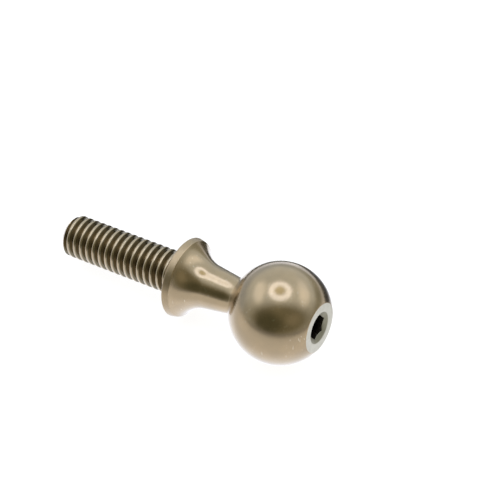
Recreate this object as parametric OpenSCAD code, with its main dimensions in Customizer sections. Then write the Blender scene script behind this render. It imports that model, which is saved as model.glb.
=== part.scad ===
// Ball pivot: a stud turned from one bar, with a ball, a hollow-flared shoulder and a fine thread.
// It lies as it comes to rest, on the ball and on the rim of the shoulder.
// The origin is the centre of the ball, +Z is up, and the ball end points to +X.

/* [Ball] */
// Diameter of the ball
ball_d = 9; // [8.8:0.1:10]
// Diameter of the flat turned across the ball's outer end
end_flat_d = 4.5; // [3.8:0.1:5.5]

/* [Key socket] */
// Width across the flats of the six-sided key that turns the stud
socket_af = 2; // [1.5, 2, 2.5]
// Depth of the six-sided part below the end flat
socket_depth = 2.4; // [1.8:0.1:3]
// Full angle of the drilled point at the bottom of the socket
drill_angle = 118; // [90:2:140]
// Diameter of the countersink at the socket's mouth
countersink_d = 3; // [2.9:0.1:3.6]
// Full angle of the countersink
countersink_angle = 120; // [90:5:130]
// Turn of the socket's first corner about the axis, from straight down
socket_turn = 34; // [0:1:59]

/* [Shoulder and neck] */
// Distance from the shoulder's seat to the centre of the ball
seat_to_ball = 9.9; // [9.5:0.1:12]
// Diameter of the rim at the seat, where it is widest
rim_d = 7.3; // [6.6:0.1:8]
// Width of the rim, from the seat to its front edge
rim_w = 0.65; // [0.4:0.05:1]
// Angle at which the rim narrows from the seat to its front edge
rim_taper = 13; // [0:1:25]
// Width of the bevel on the rim's edge at the seat
rim_bevel = 0.08; // [0.05:0.01:0.12]
// Lean of the shoulder's front face from square to the axis
front_lean = 34; // [28:1:42]
// Radius of the hollow flare between the front face and the neck
flare_r = 3.2; // [1.5:0.1:4]
// Diameter of the neck where it enters the ball
neck_d = 3.25; // [2.8:0.05:3.6]
// Angle at which the neck widens towards the shoulder
neck_taper = 8; // [5:0.5:12]

/* [Thread] */
// Outer diameter of the thread, as cut for a 4 mm hole
thread_d = 3.92; // [3:0.01:4]
// Distance from one crest to the next
thread_pitch = 0.7; // [0.5:0.05:0.8]
// Length of the threaded shank below the seat
thread_length = 12.3; // [8:0.1:16]
// Diameter of the plain collar where the thread runs out against the seat
collar_d = 4.1; // [4.05:0.05:4.4]
// Length of the plain collar
collar_w = 0.35; // [0.2:0.05:0.7]
// Bevel at the tip of the thread
tip_bevel = 0.4; // [0.2:0.05:0.5]
// Turn of the thread's crest at the tip about the axis, from straight down
thread_turn = 180; // [0:5:355]

/* [Hidden] */

// How far one solid reaches into the next where they are joined
overlap = 0.4;
// How far the thread reaches into its collar, which is short
thread_overlap = 0.1;
// Steps in which a circle is drawn
circle_steps = 96;

// The ball and its socket, along the axis from the ball's centre
ball_r = ball_d / 2;
end_flat_h = sqrt(pow(ball_r, 2) - pow(end_flat_d / 2, 2));
socket_sides = 6;
socket_corner_r = socket_af / 2 / cos(180 / socket_sides);
socket_floor_h = end_flat_h - socket_depth;
drill_point_h = socket_af / 2 / tan(drill_angle / 2);
countersink_h = countersink_d / 2 / tan(countersink_angle / 2);

// The shoulder and neck in section, as [radius, height]
rim_r = rim_d / 2;
seat_h = -seat_to_ball;
collar_r = collar_d / 2;
neck_r = neck_d / 2;
neck_h = -sqrt(pow(ball_r, 2) - pow(neck_r, 2));

// The front face starts at the rim's front edge
face_normal = [sin(front_lean), cos(front_lean)];
face_start = [rim_r - (rim_w - rim_bevel) * tan(rim_taper), seat_h + rim_w];

// The flare is one arc that meets both the front face and the neck without a corner.
// A point on it is found from its distance to those two straight lines.
neck_normal = [cos(neck_taper), sin(neck_taper)];
normals_cross = face_normal.x * neck_normal.y - face_normal.y * neck_normal.x;
function off_both_lines(distance) =
    let (
        face_reach = face_normal * face_start + distance,
        neck_reach = neck_normal * [neck_r, neck_h] + distance
    )
    [
        (face_reach * neck_normal.y - neck_reach * face_normal.y) / normals_cross,
        (neck_reach * face_normal.x - face_reach * neck_normal.x) / normals_cross
    ];
// The arc is made smaller where it would take more of the front face than its share
face_share = 0.98;
face_length = norm(face_start - off_both_lines(0));
flare_bend = 90 - front_lean - neck_taper;
flare_fit_r = min(flare_r, face_share * face_length / tan(flare_bend / 2));
flare_centre = off_both_lines(flare_fit_r);
flare_at_face = flare_centre - flare_fit_r * face_normal;
flare_at_neck = flare_centre - flare_fit_r * neck_normal;
neck_inside_ball = [neck_r - overlap * tan(neck_taper), neck_h + overlap];

// The stud rests on the ball and on the rim's edge nearest the thread.
// The axis dips towards the thread by the angle that puts both on one level.
rim_contact = [rim_r, seat_to_ball - rim_bevel];
rest_tilt = asin(ball_r / norm(rim_contact)) - atan2(rim_contact.x, rim_contact.y);

// The thread has the metric sixty degree form, with its depth and crest in parts of the pitch
flank_angle = 30;
depth_in_pitches = 0.6134;
crest_in_pitches = 0.125;
steps = 32;
crest_r = thread_d / 2;
thread_depth = depth_in_pitches * thread_pitch;
root_r = crest_r - thread_depth;
crest_w = crest_in_pitches * thread_pitch;
flank_w = thread_depth * tan(flank_angle);
// Heights in one pitch at which the form changes direction, from the middle of a crest
form = [crest_w / 2, crest_w / 2 + flank_w, thread_pitch - crest_w / 2 - flank_w, thread_pitch - crest_w / 2];
corners = len(form);
form_r = [crest_r, root_r, root_r, crest_r];
form_table = concat(
    [[0, crest_r]],
    [for (i = [0:corners - 1]) [form[i], form_r[i]]],
    [[thread_pitch, crest_r]]
);
tip_h = seat_h - thread_length;
thread_top_h = seat_h - collar_w + thread_overlap;
// The helix starts below the tip and ends above the top, and is then cut off level at both
turns_below = 2;
turns = turns_below + ceil((thread_top_h - tip_h) / thread_pitch) + 1;
rows = turns * corners;

// Angle of one column of points about the axis
function column_angle(column) = 360 * column / steps;

// Height of a point on the helix, before it is held between the two ends
function helix_h(column, row) =
    tip_h + (floor(row / corners) - turns_below + column / steps) * thread_pitch + form[row % corners];

// Height from the nearest crest below
function above_crest(column, h) =
    let (rise = (h - tip_h) / thread_pitch - column / steps)
    (rise - floor(rise)) * thread_pitch;

// Radius of the thread, cut back by the bevel at the tip
function thread_r(column, h) =
    min(lookup(above_crest(column, h), form_table), crest_r - tip_bevel + h - tip_h);

// Point on the thread's surface
function thread_point(column, h) = [
    thread_r(column, h) * cos(column_angle(column)),
    thread_r(column, h) * sin(column_angle(column)),
    h
];

// Points come in three groups: the helix, the ring at the tip and the ring at the top
tip_ring = rows * steps;
top_ring = tip_ring + steps;

// Number of the point for a column and a row, with one whole turn rising by one pitch
function point_at(column, row) =
    column == steps ? point_at(0, row + corners)
    : helix_h(column, row) <= tip_h ? tip_ring + column
    : helix_h(column, row) >= thread_top_h ? top_ring + column
    : row * steps + column;

// A triangle is left out when two of its corners have met at an end
function whole_triangle(t) = t[0] != t[1] && t[1] != t[2] && t[2] != t[0];

module thread() {
    surface_points = [for (row = [0:rows - 1]) for (column = [0:steps - 1])
        thread_point(column, min(max(helix_h(column, row), tip_h), thread_top_h))];
    tip_points = [for (column = [0:steps - 1]) thread_point(column, tip_h)];
    top_points = [for (column = [0:steps - 1]) thread_point(column, thread_top_h)];
    // The last row drawn still has one more row a whole turn above it
    last_row = rows - corners - 2;
    triangles = [for (row = [0:last_row]) for (column = [0:steps - 1])
        let (
            a = point_at(column, row),
            b = point_at(column + 1, row),
            c = point_at(column + 1, row + 1),
            d = point_at(column, row + 1)
        )
        each [[a, c, b], [a, d, c]]];
    tip_face = [for (column = [0:steps - 1]) tip_ring + column];
    top_face = [for (column = [steps - 1:-1:0]) top_ring + column];
    polyhedron(
        points = concat(surface_points, tip_points, top_points),
        faces = concat([for (t = triangles) if (whole_triangle(t)) t], [tip_face, top_face]),
        convexity = 10
    );
}

// Half of the turned section, from the collar at the seat to just inside the ball
module shoulder_section() {
    difference() {
        polygon([
            [0, seat_h - collar_w],
            [collar_r, seat_h - collar_w],
            [collar_r, seat_h],
            [rim_r - rim_bevel, seat_h],
            [rim_r, seat_h + rim_bevel],
            face_start,
            flare_at_face,
            flare_centre,
            flare_at_neck,
            neck_inside_ball,
            [0, neck_inside_ball.y]
        ]);
        translate(flare_centre) circle(r = flare_fit_r, $fn = circle_steps);
    }
}

// Ball with its outer end turned flat
module ball() {
    difference() {
        sphere(d = ball_d, $fn = circle_steps);
        translate([0, 0, end_flat_h]) cylinder(d = ball_d, h = ball_r, $fn = circle_steps);
    }
}

// Space cut out for the key: countersink, six-sided hole and drilled point
module key_socket() {
    translate([0, 0, socket_floor_h])
        rotate([0, 0, socket_turn])
            cylinder(r = socket_corner_r, h = socket_depth + overlap, $fn = socket_sides);
    translate([0, 0, socket_floor_h - drill_point_h])
        cylinder(r1 = 0, r2 = socket_af / 2, h = drill_point_h, $fn = circle_steps);
    translate([0, 0, end_flat_h - countersink_h])
        cylinder(r1 = 0, r2 = countersink_d / 2, h = countersink_h, $fn = circle_steps);
}

module ball_pivot() {
    color([0.50, 0.44, 0.34])
        rotate([0, 90 - rest_tilt, 0]) {
            difference() {
                union() {
                    ball();
                    rotate_extrude($fn = circle_steps) shoulder_section();
                }
                key_socket();
            }
            rotate([0, 0, thread_turn]) thread();
        }
}

ball_pivot();
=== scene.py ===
# Ball pivot, lying on its ball and on the rim of its shoulder.
# Shapes are drawn in millimetres about the stud's own axis, then laid down and scaled to metres.
import math

import bmesh
import bpy
from mathutils import Matrix, Vector


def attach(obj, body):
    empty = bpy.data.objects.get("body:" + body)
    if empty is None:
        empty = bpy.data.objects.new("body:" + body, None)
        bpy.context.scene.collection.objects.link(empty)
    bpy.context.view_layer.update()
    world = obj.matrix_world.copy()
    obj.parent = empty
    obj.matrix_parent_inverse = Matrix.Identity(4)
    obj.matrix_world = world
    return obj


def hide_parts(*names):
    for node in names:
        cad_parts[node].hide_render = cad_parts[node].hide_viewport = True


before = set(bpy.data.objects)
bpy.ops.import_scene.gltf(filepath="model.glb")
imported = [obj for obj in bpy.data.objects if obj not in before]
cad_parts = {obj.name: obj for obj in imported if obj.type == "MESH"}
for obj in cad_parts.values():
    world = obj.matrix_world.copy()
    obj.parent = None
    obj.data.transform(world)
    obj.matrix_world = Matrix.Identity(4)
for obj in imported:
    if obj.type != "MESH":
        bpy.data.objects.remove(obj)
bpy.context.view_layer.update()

MM = 0.001
FULL_TURN = math.radians(360)
QUARTER_TURN = math.radians(90)

# Ball, with a flat turned across its outer end
BALL_R = 4.5
END_FLAT_R = 2.25
END_FLAT_H = math.sqrt(BALL_R ** 2 - END_FLAT_R ** 2)

# Key socket, six-sided, with a drilled point at its bottom
SOCKET_SIDE_ANGLE = math.radians(60)
SOCKET_FLAT_R = 1.0
SOCKET_CORNER_R = SOCKET_FLAT_R / math.cos(SOCKET_SIDE_ANGLE / 2)
SOCKET_DEPTH = 2.4
SOCKET_FLOOR_H = END_FLAT_H - SOCKET_DEPTH
SOCKET_TURN = math.radians(34)
DRILL_R = 0.96
DRILL_HALF_ANGLE = math.radians(59)

# Countersink at the socket's mouth, round as far in as SINK_ROUND_R and drawn in to six sides from there
SINK_R = 1.5
SINK_ROUND_R = 1.22
SINK_HALF_ANGLE = math.radians(60)

# Neck, flare, rim and the plain collar at the seat
NECK_R = 1.625
NECK_H = -math.sqrt(BALL_R ** 2 - NECK_R ** 2)
NECK_TAPER = math.radians(8)
FLARE_R = 3.2
FRONT_LEAN = math.radians(34)
SEAT_H = -9.9
RIM_R = 3.65
RIM_W = 0.65
RIM_BEVEL = 0.08
RIM_TAPER = math.radians(13)
COLLAR_R = 2.05
COLLAR_W = 0.35

# Widths over which the turned edges are rounded
SOFT_EDGE = 0.05
FINE_EDGE = 0.03
NECK_FILLET = 0.07

# Thread. A fullness above 1 makes the rounded crests broader than the roots.
CREST_R = 1.96
CREST_FULLNESS = 1.8
PITCH = 0.7
THREAD_DEPTH = 0.6134 * PITCH
THREAD_TOP_H = SEAT_H - COLLAR_W
THREAD_LENGTH = 12.3
TIP_H = SEAT_H - THREAD_LENGTH
TIP_BEVEL = 0.4
TURNS_BELOW_TIP = 2
THREAD_TURN = math.radians(180)

# How far the axis dips towards the thread when the stud rests on the ball and on the rim's edge
RIM_EDGE = (RIM_R, -SEAT_H - RIM_BEVEL)
REST_TILT = math.asin(BALL_R / math.hypot(*RIM_EDGE)) - math.atan2(*RIM_EDGE)
LAY_DOWN = Matrix.Rotation(QUARTER_TURN - REST_TILT, 4, "Y")
AXIS = LAY_DOWN.to_3x3() @ Vector((0, 0, 1))

# Steps in which round shapes are drawn
TURN_STEPS = 192
BALL_STEPS = 72
FLARE_STEPS = 28
THREAD_STEPS = 96
PROFILE_STEPS = 16
STAGE_STEPS = 96

# Points closer than this lie at one place
TOUCHING = 1e-3

# Faces that meet at more than this are drawn with a sharp edge between them
SHARP_ANGLE = math.radians(32)

# How far the bare finish of the end reaches down from the flat, past the countersink, and how far in from
# the flat's edge it begins
BARE_DEPTH = 0.36
BARE_MARGIN = 0.02

# Where one finish, painted shade or painted highlight changes to the next: radii, heights, and the cosine of
# a face's angle to the axis
RIM_FINISH = (RIM_R - 0.16, RIM_R - 0.12)
CREST_HIGHLIGHT_AND_RUB_RANGE = (CREST_R - 0.07, CREST_R - 0.01)
SOCKET_SHADE_R = SOCKET_CORNER_R + 0.04
FLAT_FINISH = (END_FLAT_H - 0.05, END_FLAT_H - 0.01)
FLANK_SHADE_RANGE = (0.42, 0.86)

# Roughness and clear layer of the finishes, and the depth in metres of their grain and turning grooves
BRONZE_ROUGHNESS = (0.17, 0.23)
BARE_ROUGHNESS = (0.38, 0.50)
RIM_DULLNESS = 0.22
COAT_ROUGHNESS = 0.17
COAT_IOR = 2.0
COAT_WEIGHTS = (0.9, 0.3)
GRAIN_DEPTH = 0.01 * MM
GROOVE_DEPTH = 0.02 * MM

# The middle range of a noise, stretched to the full change of a finish
NOISE_RANGE = (0.3, 0.7)

# How much of the paler metal shows through in scratches, and how strongly the thread's crests are painted
# paler, partly as rubbed metal and partly as a painted highlight
WEAR_AMOUNT = 0.45
CREST_HIGHLIGHT_AND_RUB_AMOUNT = 0.2

# Scratches: the turn in radians and the scale that draw a noise out along one slanting direction
SCRATCH_TURN = (math.radians(20), math.radians(35), math.radians(50))
SCRATCH_SCALE = (1.2, 8.0, 8.0)

# Colours of the finishes, with the painted shade on the thread's flanks and in the key socket, and the
# crests' paler colour that is partly a painted highlight
BRONZE_DEEP = (0.345, 0.248, 0.125, 1)
BRONZE_LIGHT = (0.40, 0.285, 0.142, 1)
WORN = (0.68, 0.62, 0.50, 1)
# Paler crests of the thread: partly rubbed metal, partly a painted highlight
PAINTED_CREST_HIGHLIGHT_AND_RUB = (0.60, 0.54, 0.43, 1)
# Painted shade on the flanks of the thread that face the shoulder
FLANK_PAINTED_SHADE = (0.12, 0.098, 0.05, 1)
# Painted shade inside the key socket
SOCKET_PAINTED_SHADE = (0.10, 0.085, 0.06, 1)
BARE_DEEP = (0.586, 0.573, 0.51, 1)
BARE_LIGHT = (0.687, 0.674, 0.611, 1)
SINK_GREY = (0.30, 0.285, 0.22, 1)

# Table, in millimetres from the point under the ball. What the metal shows of it gets brighter where Y
# passes BRIGHT_FROM_Y and X hasn't passed BRIGHT_TO_X, fades towards the front and far out, and is dark in
# an oval patch behind the stud. A fade holds two distances and the levels there, and the patch's distances
# are in parts of its half size.
TABLE_R = 350
BRIGHT_FROM_Y = (-9, -2.5)
BRIGHT_TO_X = (1, 9)
BRIGHT_LEVELS = (0.97, 1.28)
BRIGHT_TINT = (0.95, 0.98, 1.06, 1)
FRONT_AZIMUTH = math.radians(-58)
FRONT_FADE = (10, 65, 1, 0.45)
FAR_FADE = (30, 80, 1, 0.75)
PATCH_CENTRE = (5, 32, 0)
PATCH_HALF_SIZE = (15, 22, 1)
PATCH_FADE = (0.75, 1.15, 0.07, 1)
TABLE_GLOW = 0.9
PAPER = (0.3, 0.3, 0.3, 1)

# Low dark card behind the stud, in millimetres
CARD_CENTRE = (-22, 13.5, -2.3)
CARD_W = 40
CARD_H = 4.4
CARD_COLOUR = (0.5, 0.48, 0.35, 1)
CARD_STRENGTH = 0.2

# Ring light overhead, in millimetres
RING_CENTRE = (-30, 29, 400)
RING_INNER_R = 83
RING_OUTER_R = 170
RING_COLOUR = (0.94, 1.0, 1.15, 1)
RING_STRENGTH = 2.2

# Soft patches of the room round the table: azimuth and elevation in degrees, half width and half height
# as sines, softness of the edge, colour
ROOM_COLOUR = (0.84, 0.90, 0.93, 1)
ROOM_PATCHES = (
    (136, 84, 0.17, 0.17, 0.3, (0.90, 0.84, 0.58, 1)),
    (-165, 45, 0.40, 0.20, 0.40, (1.42, 1.47, 1.52, 1)),
    (44, 42, 0.50, 0.20, 0.40, (1.34, 1.39, 1.44, 1)),
    (110, -2, 0.95, 0.22, 0.5, (0.50, 0.55, 0.58, 1)),
    (175, 6, 0.60, 0.20, 0.6, (0.55, 0.60, 0.66, 1)),
    (55, 2, 0.75, 0.24, 0.4, (0.40, 0.40, 0.33, 1)),
    (-60, 30, 0.97, 0.58, 0.3, (0.25, 0.235, 0.155, 1)),
    (-86, 20, 0.52, 0.38, 0.5, (0.115, 0.115, 0.068, 1)),
    (-27, 27, 0.26, 0.20, 0.6, (0.38, 0.35, 0.25, 1)),
)
WHITE = (1, 1, 1, 1)

# Camera: place, nearest distance, lens and sensor in millimetres, turn in degrees
CAMERA_PLACE = (48.257, -83.307, 99.535)
CAMERA_TURN = (46.252, -0.437, 32.07)
CAMERA_NEAREST = 1
LENS = 116.59
SENSOR_W = 36


def draw_line(bm, vert, r, h, steps=1):
    """Carries the section on from vert in a straight line to radius r and height h."""
    start = vert.co.copy()
    end = Vector((r, 0, h))
    for k in range(1, steps + 1):
        vert = bmesh.ops.extrude_vert_indiv(bm, verts=[vert])["verts"][0]
        vert.co = start.lerp(end, k / steps)
    return vert


def draw_arc(bm, vert, centre, angle, steps):
    """Carries the section on from vert along an arc about centre; a positive angle turns from +Z to +X."""
    made = bmesh.ops.spin(
        bm, geom=[vert], cent=(centre[0], 0, centre[1]), axis=(0, 1, 0), dvec=(0, 0, 0),
        angle=angle, steps=steps, use_merge=False, use_normal_flip=False, use_duplicate=False)
    return [g for g in made["geom_last"] if isinstance(g, bmesh.types.BMVert)][0]


def turn_round(bm, steps):
    """Spins the whole section round the axis once."""
    bmesh.ops.spin(
        bm, geom=bm.verts[:] + bm.edges[:], cent=(0, 0, 0), axis=(0, 0, 1), dvec=(0, 0, 0),
        angle=FULL_TURN, steps=steps, use_merge=True, use_normal_flip=False, use_duplicate=False)


def as_mesh(bm, name):
    """Turns the bmesh into a mesh and frees it."""
    mesh = bpy.data.meshes.new(name)
    bm.to_mesh(mesh)
    bm.free()
    return mesh


def ring_edges(bm, r, h):
    """The edges of the ring at radius r and height h."""
    def there(v):
        return abs(math.hypot(v.co.x, v.co.y) - r) < TOUCHING and abs(v.co.z - h) < TOUCHING
    return [e for e in bm.edges if there(e.verts[0]) and there(e.verts[1])]


def soften(bm, edges, width, steps):
    """Rounds edges over by width."""
    bmesh.ops.bevel(
        bm, geom=edges, offset=width, offset_type="OFFSET", segments=steps, profile=0.5,
        affect="EDGES", material=-1, clamp_overlap=True)


def sink_height(r):
    """Height of the countersink at radius r."""
    return END_FLAT_H - (SINK_R - r) / math.tan(SINK_HALF_ANGLE)


def flare_arc():
    """The rim's front edge, and the centre of the flare and its end at the neck, as (radius, height)."""
    face = Vector((math.sin(FRONT_LEAN), math.cos(FRONT_LEAN)))
    neck = Vector((math.cos(NECK_TAPER), math.sin(NECK_TAPER)))
    front_edge = Vector((RIM_R - (RIM_W - RIM_BEVEL) * math.tan(RIM_TAPER), SEAT_H + RIM_W))
    reach_face = face.dot(front_edge) + FLARE_R
    reach_neck = neck.dot(Vector((NECK_R, NECK_H))) + FLARE_R
    cross = face.x * neck.y - face.y * neck.x
    centre = Vector((
        (reach_face * neck.y - reach_neck * face.y) / cross,
        (reach_neck * face.x - reach_face * neck.x) / cross))
    return front_edge, centre, centre - FLARE_R * neck


def turn_head(bm):
    """The ball, neck, flare, rim and collar, spun from one section; open at the socket and at the thread."""
    front_edge, flare_centre, flare_end = flare_arc()
    ball_angle = math.atan2(NECK_R, NECK_H) - math.atan2(END_FLAT_R, END_FLAT_H)
    flare_angle = QUARTER_TURN - FRONT_LEAN - NECK_TAPER
    vert = bm.verts.new((SINK_ROUND_R, 0, sink_height(SINK_ROUND_R)))
    vert = draw_line(bm, vert, SINK_R, END_FLAT_H)
    vert = draw_line(bm, vert, END_FLAT_R, END_FLAT_H, steps=3)
    vert = draw_arc(bm, vert, (0, 0), ball_angle, BALL_STEPS)
    vert = draw_line(bm, vert, flare_end.x, flare_end.y, steps=4)
    vert = draw_arc(bm, vert, flare_centre, -flare_angle, FLARE_STEPS)
    vert = draw_line(bm, vert, front_edge.x, front_edge.y)
    vert = draw_line(bm, vert, RIM_R, SEAT_H + RIM_BEVEL, steps=3)
    vert = draw_line(bm, vert, RIM_R - RIM_BEVEL, SEAT_H)
    vert = draw_line(bm, vert, COLLAR_R, SEAT_H, steps=3)
    draw_line(bm, vert, COLLAR_R, THREAD_TOP_H)
    bmesh.ops.rotate(bm, verts=bm.verts, cent=(0, 0, 0), matrix=Matrix.Rotation(SOCKET_TURN, 3, "Z"))
    turn_round(bm, TURN_STEPS)
    bmesh.ops.remove_doubles(bm, verts=bm.verts, dist=TOUCHING)
    for r, h, width, steps in (
            (END_FLAT_R, END_FLAT_H, SOFT_EDGE, 3),
            (SINK_R, END_FLAT_H, FINE_EDGE, 2),
            (NECK_R, NECK_H, NECK_FILLET, 3),
            (front_edge.x, front_edge.y, SOFT_EDGE, 3),
            (RIM_R, SEAT_H + RIM_BEVEL, FINE_EDGE, 2),
            (RIM_R - RIM_BEVEL, SEAT_H, FINE_EDGE, 2)):
        soften(bm, ring_edges(bm, r, h), width, steps)


def next_ring(bm, ring):
    """Extrudes an open ring of edges and returns the new ring."""
    made = bmesh.ops.extrude_edge_only(bm, edges=ring)["geom"]
    return [g for g in made if isinstance(g, bmesh.types.BMEdge) and g.is_boundary]


def ring_verts(ring):
    return list({v for e in ring for v in e.verts})


def polar(co, r, h):
    """The point at radius r and height h, at the same turn about the axis as co."""
    turn = math.atan2(co.y, co.x)
    return Vector((r * math.cos(turn), r * math.sin(turn), h))


def sink_key_socket(bm):
    """Draws the socket's open ring in to a six-sided mouth, and takes it down to the drilled point."""
    mouth = next_ring(bm, [e for e in bm.edges if e.is_boundary and e.verts[0].co.z > 0])
    for v in ring_verts(mouth):
        turn = math.atan2(v.co.y, v.co.x) - SOCKET_TURN
        from_middle = (turn % SOCKET_SIDE_ANGLE) - SOCKET_SIDE_ANGLE / 2
        r = SOCKET_FLAT_R / math.cos(from_middle)
        v.co = polar(v.co, r, sink_height(r))
    floor = next_ring(bm, mouth)
    for v in ring_verts(floor):
        v.co.z = SOCKET_FLOOR_H
    drilled = next_ring(bm, floor)
    for v in ring_verts(drilled):
        v.co = polar(v.co, DRILL_R, SOCKET_FLOOR_H)
    point = Vector((0, 0, SOCKET_FLOOR_H - DRILL_R / math.tan(DRILL_HALF_ANGLE)))
    bmesh.ops.pointmerge(bm, verts=ring_verts(next_ring(bm, drilled)), merge_co=point)
    soften(bm, mouth, FINE_EDGE, 2)


def cut_thread(bm):
    """The right-hand thread: one turn spun up a helix, repeated pitch by pitch and cut level at both ends."""
    start_h = TIP_H - TURNS_BELOW_TIP * PITCH
    turns = math.ceil((THREAD_TOP_H - start_h) / PITCH) + 1
    vert = bm.verts.new((CREST_R, 0, start_h))
    for k in range(1, PROFILE_STEPS + 1):
        part = k / PROFILE_STEPS
        depth = THREAD_DEPTH * (0.5 - 0.5 * math.cos(FULL_TURN * part)) ** CREST_FULLNESS
        vert = draw_line(bm, vert, CREST_R - depth, start_h + PITCH * part)
    bmesh.ops.spin(
        bm, geom=bm.verts[:] + bm.edges[:], cent=(0, 0, 0), axis=(0, 0, 1),
        dvec=(0, 0, PITCH / THREAD_STEPS), angle=FULL_TURN, steps=THREAD_STEPS,
        use_merge=False, use_normal_flip=False, use_duplicate=False)
    one_turn = bpy.data.meshes.new("one_turn")
    bm.to_mesh(one_turn)
    for _ in range(turns - 1):
        one_turn.transform(Matrix.Translation((0, 0, PITCH)))
        bm.from_mesh(one_turn)
    bpy.data.meshes.remove(one_turn)
    bmesh.ops.remove_doubles(bm, verts=bm.verts, dist=TOUCHING)
    bmesh.ops.rotate(bm, verts=bm.verts, cent=(0, 0, 0), matrix=Matrix.Rotation(THREAD_TURN, 3, "Z"))
    for v in bm.verts:
        bevel_r = CREST_R - TIP_BEVEL + max(0.0, v.co.z - TIP_H)
        if math.hypot(v.co.x, v.co.y) > bevel_r:
            v.co = polar(v.co, bevel_r, v.co.z)
    for height, above in ((TIP_H, False), (THREAD_TOP_H, True)):
        bmesh.ops.bisect_plane(
            bm, geom=bm.verts[:] + bm.edges[:] + bm.faces[:], dist=1e-5, plane_co=(0, 0, height),
            plane_no=(0, 0, 1), clear_outer=above, clear_inner=not above)


def open_edges(bm, h):
    """The open edges at height h."""
    return [e for e in bm.edges if e.is_boundary and abs(e.verts[0].co.z - h) < TOUCHING]


def make_stud():
    bm = bmesh.new()
    turn_head(bm)
    sink_key_socket(bm)
    head = as_mesh(bm, "head")
    bm = bmesh.new()
    cut_thread(bm)
    bm.from_mesh(head)
    bpy.data.meshes.remove(head)
    bmesh.ops.contextual_create(bm, geom=open_edges(bm, TIP_H))
    bmesh.ops.bridge_loops(bm, edges=open_edges(bm, THREAD_TOP_H))
    bmesh.ops.recalc_face_normals(bm, faces=bm.faces)
    bmesh.ops.transform(bm, matrix=Matrix.Scale(MM, 4) @ LAY_DOWN, verts=bm.verts)
    mesh = as_mesh(bm, "stud")
    mesh.shade_smooth()
    mesh.set_sharp_from_angle(angle=SHARP_ANGLE)
    stud = bpy.data.objects.new("stud", mesh)
    bpy.context.scene.collection.objects.link(stud)
    return stud


def mark_bare_end(mesh):
    """Gives the flat and the countersink on the ball's end the second material."""
    for face in mesh.polygons:
        centre = face.center / MM
        height = centre.dot(AXIS)
        radius = (centre - AXIS * height).length
        if height > END_FLAT_H - BARE_DEPTH and radius < END_FLAT_R - BARE_MARGIN:
            face.material_index = 1


def plug(tree, socket, value):
    """Links value to the socket if it is a node's output, and sets it there otherwise."""
    if isinstance(value, bpy.types.NodeSocket):
        tree.links.new(value, socket)
    else:
        socket.default_value = value


def new_node(tree, kind, **inputs):
    """A new node; each named input is a value to set or a socket to link from."""
    node = tree.nodes.new(kind)
    for name, value in inputs.items():
        plug(tree, node.inputs[name], value)
    return node


def maths(tree, operation, a, b):
    node = tree.nodes.new("ShaderNodeMath")
    node.operation = operation
    plug(tree, node.inputs[0], a)
    plug(tree, node.inputs[1], b)
    return node.outputs[0]


def product(tree, first, *others):
    for other in others:
        first = maths(tree, "MULTIPLY", first, other)
    return first


def vector_maths(tree, operation, a, b=None):
    """The node's vector, or its number where the operation gives one."""
    node = tree.nodes.new("ShaderNodeVectorMath")
    node.operation = operation
    plug(tree, node.inputs[0], a)
    if b is not None:
        plug(tree, node.inputs[1], b)
    return node.outputs["Value" if operation in ("LENGTH", "DOT_PRODUCT") else "Vector"]


def split(tree, vector):
    return new_node(tree, "ShaderNodeSeparateXYZ", Vector=vector).outputs


def ramp(tree, value, low, high, to_low=0.0, to_high=1.0):
    """Goes smoothly from to_low at low to to_high at high."""
    node = tree.nodes.new("ShaderNodeMapRange")
    node.interpolation_type = "SMOOTHSTEP"
    plug(tree, node.inputs["Value"], value)
    for name, number in (("From Min", low), ("From Max", high), ("To Min", to_low), ("To Max", to_high)):
        node.inputs[name].default_value = number
    return node.outputs[0]


def blend(tree, factor, a, b):
    node = tree.nodes.new("ShaderNodeMix")
    node.data_type = "RGBA"
    plug(tree, node.inputs["Factor"], factor)
    plug(tree, node.inputs["A"], a)
    plug(tree, node.inputs["B"], b)
    return node.outputs["Result"]


def noise(tree, vector, scale, detail=2.0, roughness=0.5):
    return new_node(
        tree, "ShaderNodeTexNoise", Vector=vector, Scale=scale, Detail=detail, Roughness=roughness).outputs[0]


def coordinates(tree, name):
    return tree.nodes.new("ShaderNodeTexCoord").outputs[name]


def millimetres(tree, vector):
    return vector_maths(tree, "MULTIPLY", vector, (1 / MM, 1 / MM, 1 / MM))


def stud_coordinates(tree):
    """Position in millimetres about the stud's own axis, distance from the axis and height along it."""
    upright = tree.nodes.new("ShaderNodeVectorRotate")
    upright.rotation_type = "Y_AXIS"
    plug(tree, upright.inputs["Vector"], coordinates(tree, "Object"))
    upright.inputs["Angle"].default_value = REST_TILT - QUARTER_TURN
    place = millimetres(tree, upright.outputs[0])
    parts = split(tree, place)
    across = new_node(tree, "ShaderNodeCombineXYZ", X=parts["X"], Y=parts["Y"]).outputs[0]
    return place, vector_maths(tree, "LENGTH", across), parts["Z"]


def turning_grooves(tree, radius, height, strength, under=None):
    """Fine grooves round the axis, as a lathe tool leaves them, over the bump given as under."""
    section = new_node(tree, "ShaderNodeCombineXYZ", X=radius, Z=height).outputs[0]
    grooves = noise(tree, section, scale=9.0, detail=3.0, roughness=0.6)
    bump = new_node(tree, "ShaderNodeBump", Strength=strength, Distance=GROOVE_DEPTH, Height=grooves)
    if under is not None:
        plug(tree, bump.inputs["Normal"], under)
    return bump.outputs[0]


def wear_marks(tree, place):
    """Thin scratches in a few handled places, and small specks."""
    stretched = new_node(tree, "ShaderNodeMapping", Vector=place)
    stretched.inputs["Rotation"].default_value = SCRATCH_TURN
    stretched.inputs["Scale"].default_value = SCRATCH_SCALE
    streaks = noise(tree, stretched.outputs[0], scale=1.0, detail=1.0)
    handled = noise(tree, place, scale=0.5, detail=1.0)
    scratches = product(
        tree, ramp(tree, streaks, low=0.69, high=0.72), ramp(tree, handled, low=0.48, high=0.58))
    specks = ramp(tree, noise(tree, place, scale=3.5, detail=1.0), low=0.80, high=0.83)
    return maths(tree, "MAXIMUM", scratches, specks)


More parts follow.
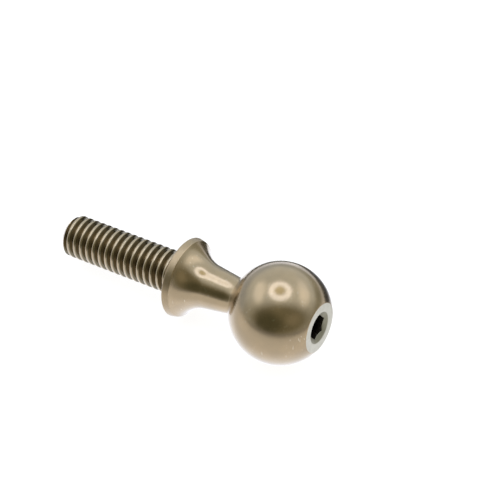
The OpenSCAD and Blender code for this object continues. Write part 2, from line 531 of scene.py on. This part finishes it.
def anodised():
    """Hard-anodised bronze colour under a clear, glossy layer, with painted shade in the key socket and on
    the thread's flanks, and a painted highlight on the crests.
    """
    mat = bpy.data.materials.new("hard_anodised_bronze")
    mat.use_nodes = True
    tree = mat.node_tree
    shader = tree.nodes["Principled BSDF"]
    place, radius, height = stud_coordinates(tree)

    # The anodised layer varies a little over a few millimetres, and scratches show the paler metal
    clouds = noise(tree, place, scale=0.45, detail=3.0, roughness=0.55)
    colour = blend(tree, ramp(tree, clouds, low=0.35, high=0.65), BRONZE_DEEP, BRONZE_LIGHT)
    colour = blend(tree, product(tree, wear_marks(tree, place), WEAR_AMOUNT), colour, WORN)
    # Painted shade: the flanks of the thread that face the shoulder are painted darker, standing in for the
    # dark surroundings they reflect. The crests are painted a little paler, partly rubbed metal and partly a
    # painted highlight
    on_thread = maths(tree, "LESS_THAN", height, THREAD_TOP_H)
    facing = vector_maths(tree, "DOT_PRODUCT", coordinates(tree, "Normal"), AXIS)
    flank_shade = product(tree, ramp(tree, facing, *FLANK_SHADE_RANGE), on_thread)
    colour = blend(tree, flank_shade, colour, FLANK_PAINTED_SHADE)
    # Painted highlight along the crests, partly rubbed metal too
    crest_highlight_and_rub = product(tree, ramp(tree, radius, *CREST_HIGHLIGHT_AND_RUB_RANGE), on_thread, CREST_HIGHLIGHT_AND_RUB_AMOUNT)
    colour = blend(tree, crest_highlight_and_rub, colour, PAINTED_CREST_HIGHLIGHT_AND_RUB)
    # Painted shade: the inside of the key socket is painted dark, as the shade deep in it
    in_bore = maths(tree, "LESS_THAN", radius, SOCKET_SHADE_R)
    socket_shade = product(tree, in_bore, maths(tree, "GREATER_THAN", height, 0.0))
    plug(tree, shader.inputs["Base Color"], blend(tree, socket_shade, colour, SOCKET_PAINTED_SHADE))

    # The rim is duller than the ball, and the clear layer thinner on the flanks with painted shade
    shader.inputs["Metallic"].default_value = 1.0
    dullness = noise(tree, place, scale=1.7, detail=4.0, roughness=0.6)
    near_seat = maths(tree, "LESS_THAN", height, SEAT_H + 2 * RIM_W)
    duller = product(tree, ramp(tree, radius, *RIM_FINISH, 0, RIM_DULLNESS), near_seat)
    roughness = ramp(tree, dullness, *NOISE_RANGE, *BRONZE_ROUGHNESS)
    plug(tree, shader.inputs["Roughness"], maths(tree, "ADD", roughness, duller))
    plug(tree, shader.inputs["Coat Weight"], ramp(tree, flank_shade, 0, 1, *COAT_WEIGHTS))
    plug(tree, shader.inputs["Coat Roughness"], maths(tree, "ADD", duller, COAT_ROUGHNESS))
    shader.inputs["Coat IOR"].default_value = COAT_IOR
    speckle = noise(tree, place, scale=14.0, roughness=0.6)
    grain = new_node(
        tree, "ShaderNodeBump", Strength=0.12, Distance=GRAIN_DEPTH, Height=speckle).outputs[0]
    surface = turning_grooves(tree, radius, height, strength=0.16, under=grain)
    plug(tree, shader.inputs["Normal"], surface)
    plug(tree, shader.inputs["Coat Normal"], surface)
    return mat


def bare_end():
    """The flat and countersink turned on the ball's end after anodising."""
    mat = bpy.data.materials.new("turned_bare_end")
    mat.use_nodes = True
    tree = mat.node_tree
    shader = tree.nodes["Principled BSDF"]
    place, radius, height = stud_coordinates(tree)
    on_flat = ramp(tree, height, *FLAT_FINISH)
    pale = blend(tree, noise(tree, place, scale=2.0, detail=3.0), BARE_DEEP, BARE_LIGHT)
    plug(tree, shader.inputs["Base Color"], blend(tree, on_flat, SINK_GREY, pale))
    shader.inputs["Metallic"].default_value = 1.0
    dullness = noise(tree, place, scale=3.0)
    plug(tree, shader.inputs["Roughness"], ramp(tree, dullness, *NOISE_RANGE, *BARE_ROUGHNESS))
    plug(tree, shader.inputs["Normal"], turning_grooves(tree, radius, height, strength=0.3))
    return mat


def stage_mesh(name, mesh, place, make_shader):
    """Puts a piece of the studio at place, in millimetres, with the shader that make_shader gives it."""
    thing = bpy.data.objects.new(name, mesh)
    thing.location = Vector(place) * MM
    bpy.context.scene.collection.objects.link(thing)
    mat = bpy.data.materials.new(name + "_finish")
    mat.use_nodes = True
    tree = mat.node_tree
    tree.nodes.clear()
    new_node(tree, "ShaderNodeOutputMaterial", Surface=make_shader(tree))
    mesh.materials.append(mat)
    return thing


def emission(tree, strength, colour=WHITE):
    return new_node(tree, "ShaderNodeEmission", Color=colour, Strength=strength).outputs[0]


def camera_or_rest(tree, camera_sees, rest_sees):
    """One shader for what the camera sees by itself, and one for light and for the metal's reflections."""
    pick = tree.nodes.new("ShaderNodeMixShader")
    plug(tree, pick.inputs[0], tree.nodes.new("ShaderNodeLightPath").outputs["Is Camera Ray"])
    plug(tree, pick.inputs[1], rest_sees)
    plug(tree, pick.inputs[2], camera_sees)
    return pick.outputs[0]


def table_shader(tree):
    """White paper to the camera; the metal shows the brighter part, the fades and the dark patch."""
    place = millimetres(tree, coordinates(tree, "Object"))
    parts = split(tree, place)
    bright = product(
        tree, ramp(tree, parts["Y"], *BRIGHT_FROM_Y), ramp(tree, parts["X"], *BRIGHT_TO_X, 1, 0))
    front = (math.cos(FRONT_AZIMUTH), math.sin(FRONT_AZIMUTH), 0)
    to_front = vector_maths(tree, "DOT_PRODUCT", place, front)
    from_ball = vector_maths(tree, "LENGTH", place)
    in_patch = new_node(tree, "ShaderNodeMapping", Vector=place)
    in_patch.vector_type = "TEXTURE"
    in_patch.inputs["Location"].default_value = PATCH_CENTRE
    in_patch.inputs["Scale"].default_value = PATCH_HALF_SIZE
    from_patch = vector_maths(tree, "LENGTH", in_patch.outputs[0])
    level = product(
        tree, ramp(tree, bright, 0, 1, *BRIGHT_LEVELS), ramp(tree, to_front, *FRONT_FADE),
        ramp(tree, from_ball, *FAR_FADE), ramp(tree, from_patch, *PATCH_FADE))
    reflected = emission(tree, level, blend(tree, bright, WHITE, BRIGHT_TINT))
    paper = tree.nodes.new("ShaderNodeAddShader")
    plug(tree, paper.inputs[0], emission(tree, TABLE_GLOW))
    plug(tree, paper.inputs[1], new_node(tree, "ShaderNodeBsdfDiffuse", Color=PAPER).outputs[0])
    return camera_or_rest(tree, paper.outputs[0], reflected)


def add_table():
    bm = bmesh.new()
    bmesh.ops.create_circle(bm, cap_ends=True, segments=STAGE_STEPS, radius=TABLE_R * MM)
    stage_mesh("table", as_mesh(bm, "table"), (0, 0, -BALL_R), table_shader)


def add_dark_card():
    """A low dark card that stands behind the stud and is seen only in the metal."""
    bm = bmesh.new()
    bmesh.ops.create_grid(bm, x_segments=1, y_segments=1, size=0.5)
    bmesh.ops.scale(bm, verts=bm.verts, vec=(CARD_W * MM, CARD_H * MM, 1))
    bmesh.ops.rotate(bm, verts=bm.verts, cent=(0, 0, 0), matrix=Matrix.Rotation(QUARTER_TURN, 3, "X"))
    card = stage_mesh(
        "dark_card", as_mesh(bm, "dark_card"), CARD_CENTRE,
        lambda tree: emission(tree, CARD_STRENGTH, CARD_COLOUR))
    card.visible_camera = False
    card.visible_shadow = False
    card.visible_diffuse = False


def add_ring_light():
    bm = bmesh.new()
    vert = bm.verts.new((RING_INNER_R * MM, 0, 0))
    draw_line(bm, vert, RING_OUTER_R * MM, 0)
    turn_round(bm, STAGE_STEPS)
    ring = stage_mesh(
        "ring_light", as_mesh(bm, "ring_light"), RING_CENTRE,
        lambda tree: emission(tree, RING_STRENGTH, RING_COLOUR))
    ring.visible_camera = False


def soft_patch(tree, way, azimuth, elevation, half_w, half_h, softness):
    """1 inside an oval patch of the room, in the direction that azimuth and elevation give, and 0 outside."""
    turn = new_node(tree, "ShaderNodeVectorRotate", Vector=way)
    turn.rotation_type = "EULER_XYZ"
    turn.invert = True
    turn.inputs["Rotation"].default_value = (math.radians(elevation), 0, math.radians(azimuth - 90))
    squashed = vector_maths(tree, "MULTIPLY", turn.outputs[0], (1 / half_w, 0, 1 / half_h))
    inside = ramp(tree, vector_maths(tree, "LENGTH", squashed), 1 - softness, 1 + softness, 1, 0)
    ahead = split(tree, turn.outputs[0])["Y"]
    return product(tree, inside, maths(tree, "GREATER_THAN", ahead, 0.0))


def add_room():
    """White to the camera; what the metal reflects is pale, with darker and lighter patches."""
    world = bpy.data.worlds.new("studio")
    bpy.context.scene.world = world
    world.use_nodes = True
    tree = world.node_tree
    tree.nodes.clear()
    way = coordinates(tree, "Generated")
    colour = ROOM_COLOUR
    for azimuth, elevation, half_w, half_h, softness, patch_colour in ROOM_PATCHES:
        mask = soft_patch(tree, way, azimuth, elevation, half_w, half_h, softness)
        colour = blend(tree, mask, colour, patch_colour)
    white = new_node(tree, "ShaderNodeBackground", Color=WHITE).outputs[0]
    room = new_node(tree, "ShaderNodeBackground", Color=colour).outputs[0]
    new_node(tree, "ShaderNodeOutputWorld", Surface=camera_or_rest(tree, white, room))


def add_camera():
    data = bpy.data.cameras.new("camera")
    data.sensor_width = SENSOR_W
    data.lens = LENS
    data.clip_start = CAMERA_NEAREST * MM
    camera = bpy.data.objects.new("camera", data)
    camera.location = Vector(CAMERA_PLACE) * MM
    camera.rotation_euler = [math.radians(a) for a in CAMERA_TURN]
    bpy.context.scene.collection.objects.link(camera)
    bpy.context.scene.camera = camera


stud = make_stud()
stud.data.materials.append(anodised())
stud.data.materials.append(bare_end())
mark_bare_end(stud.data)
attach(stud, "root")
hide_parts("ball_pivot")

add_table()
add_room()
add_dark_card()
add_ring_light()
add_camera()
bpy.context.scene.view_settings.view_transform = "Standard"
